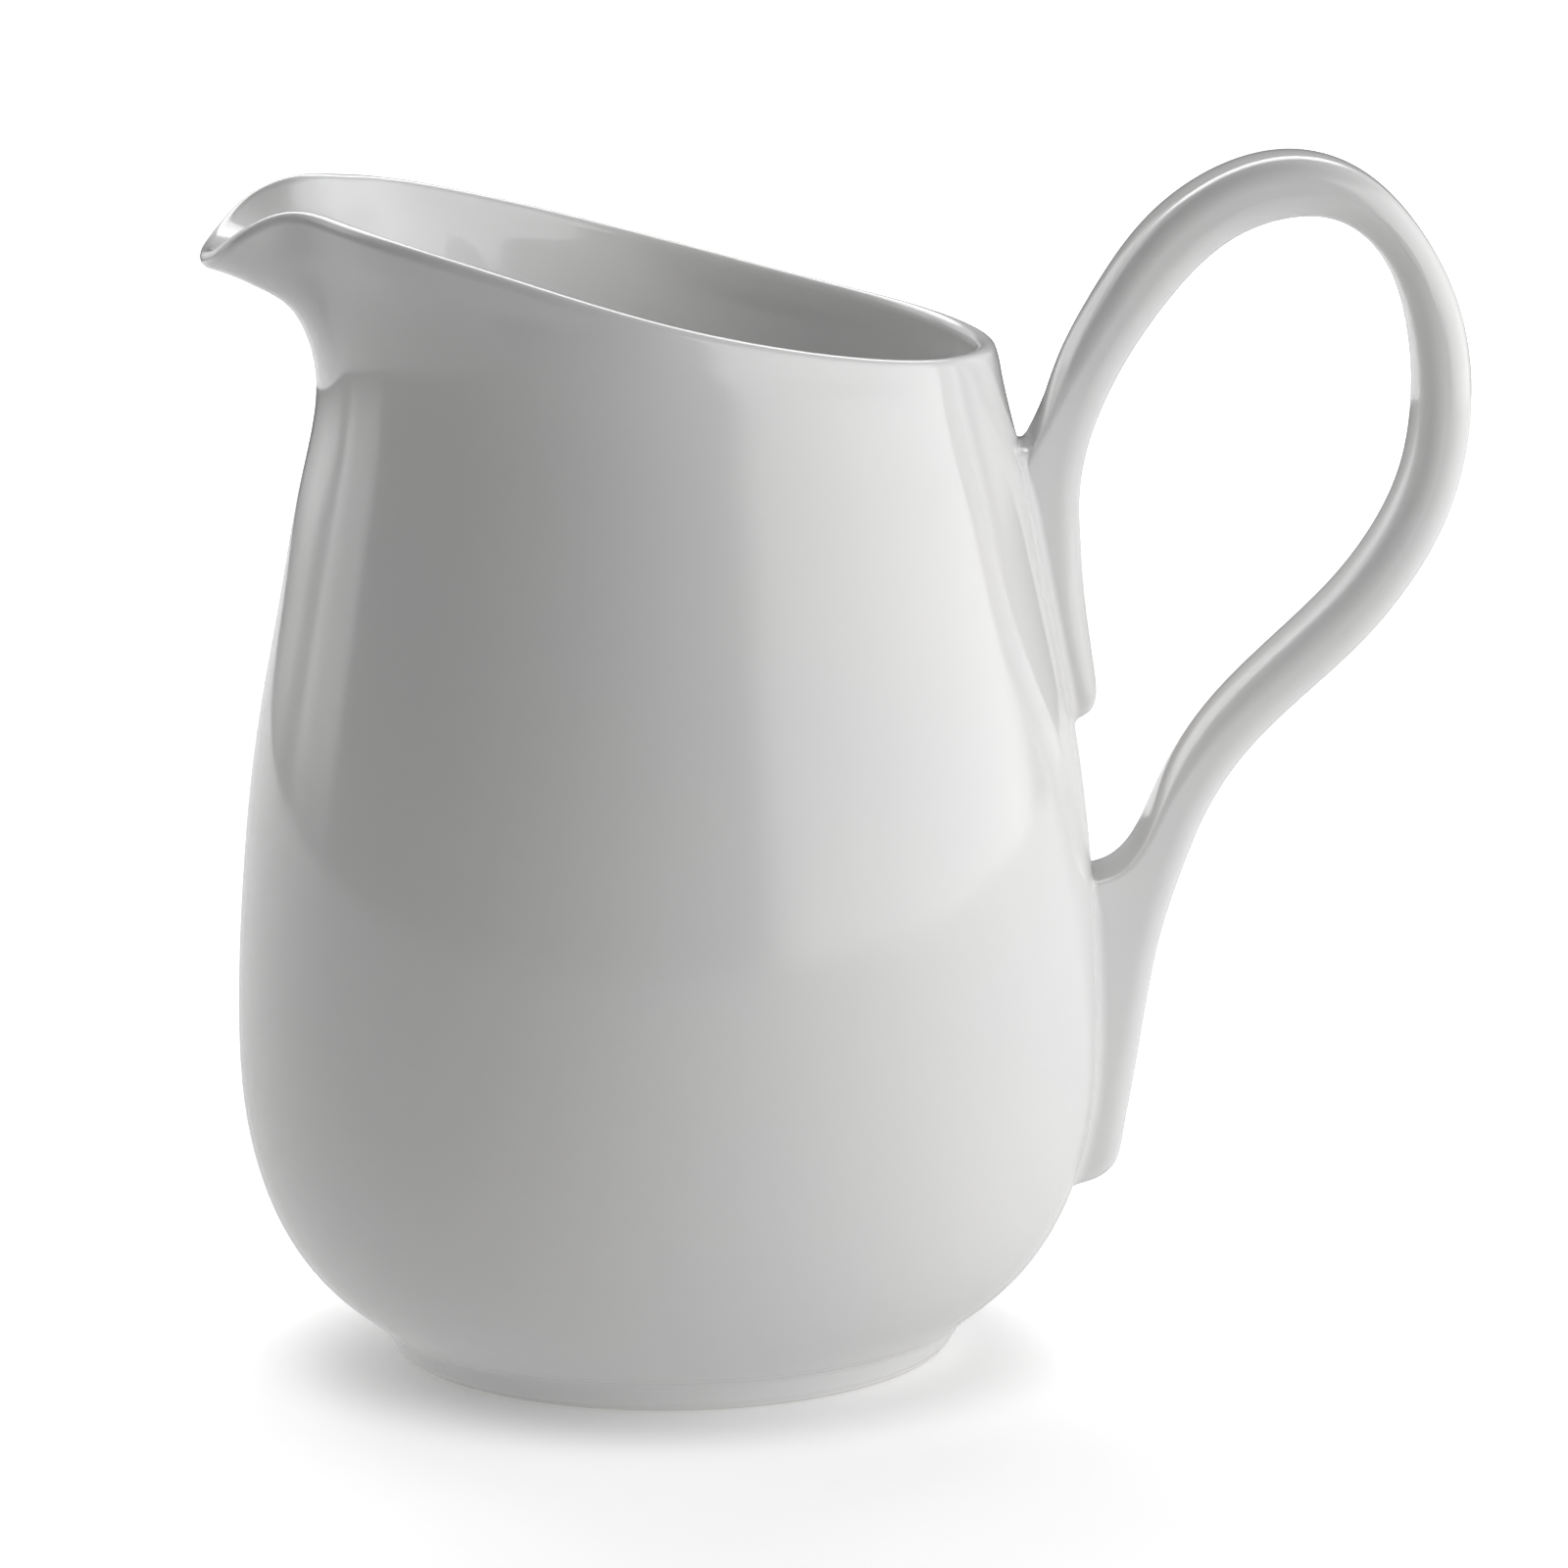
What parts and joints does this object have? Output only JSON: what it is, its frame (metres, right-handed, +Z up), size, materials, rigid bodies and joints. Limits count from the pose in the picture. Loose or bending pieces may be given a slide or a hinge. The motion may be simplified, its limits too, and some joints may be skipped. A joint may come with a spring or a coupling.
{
  "type": "serving jug",
  "caption": "Round-bellied porcelain serving jug with a slanting lip drawn out into a pouring spout, a standing foot ring, and a tall looped strap handle.",
  "frame": {"origin": "centre of the object's bounding box in X and Y, on the table at Z = 0", "axes": "+Z up, +X towards the handle, -X towards the spout, +Y completes a right-handed frame; Y = 0 is the plane of symmetry"},
  "size_m": [0.1929, 0.1318, 0.1838],
  "materials": {
    "glaze": "clear glossy glaze over white porcelain",
    "foot": "white porcelain, glazed above and wiped bare on the standing edge",
    "slip": "fired joining slip, matte and unglazed"
  },
  "bodies": {
    "root": {"body_shell": "glaze", "handle": "glaze", "foot_ring": "foot", "foot_luting_slip": "slip", "upper_luting_slip": "slip", "lower_luting_slip": "slip"}
  },
  "joints": []
}
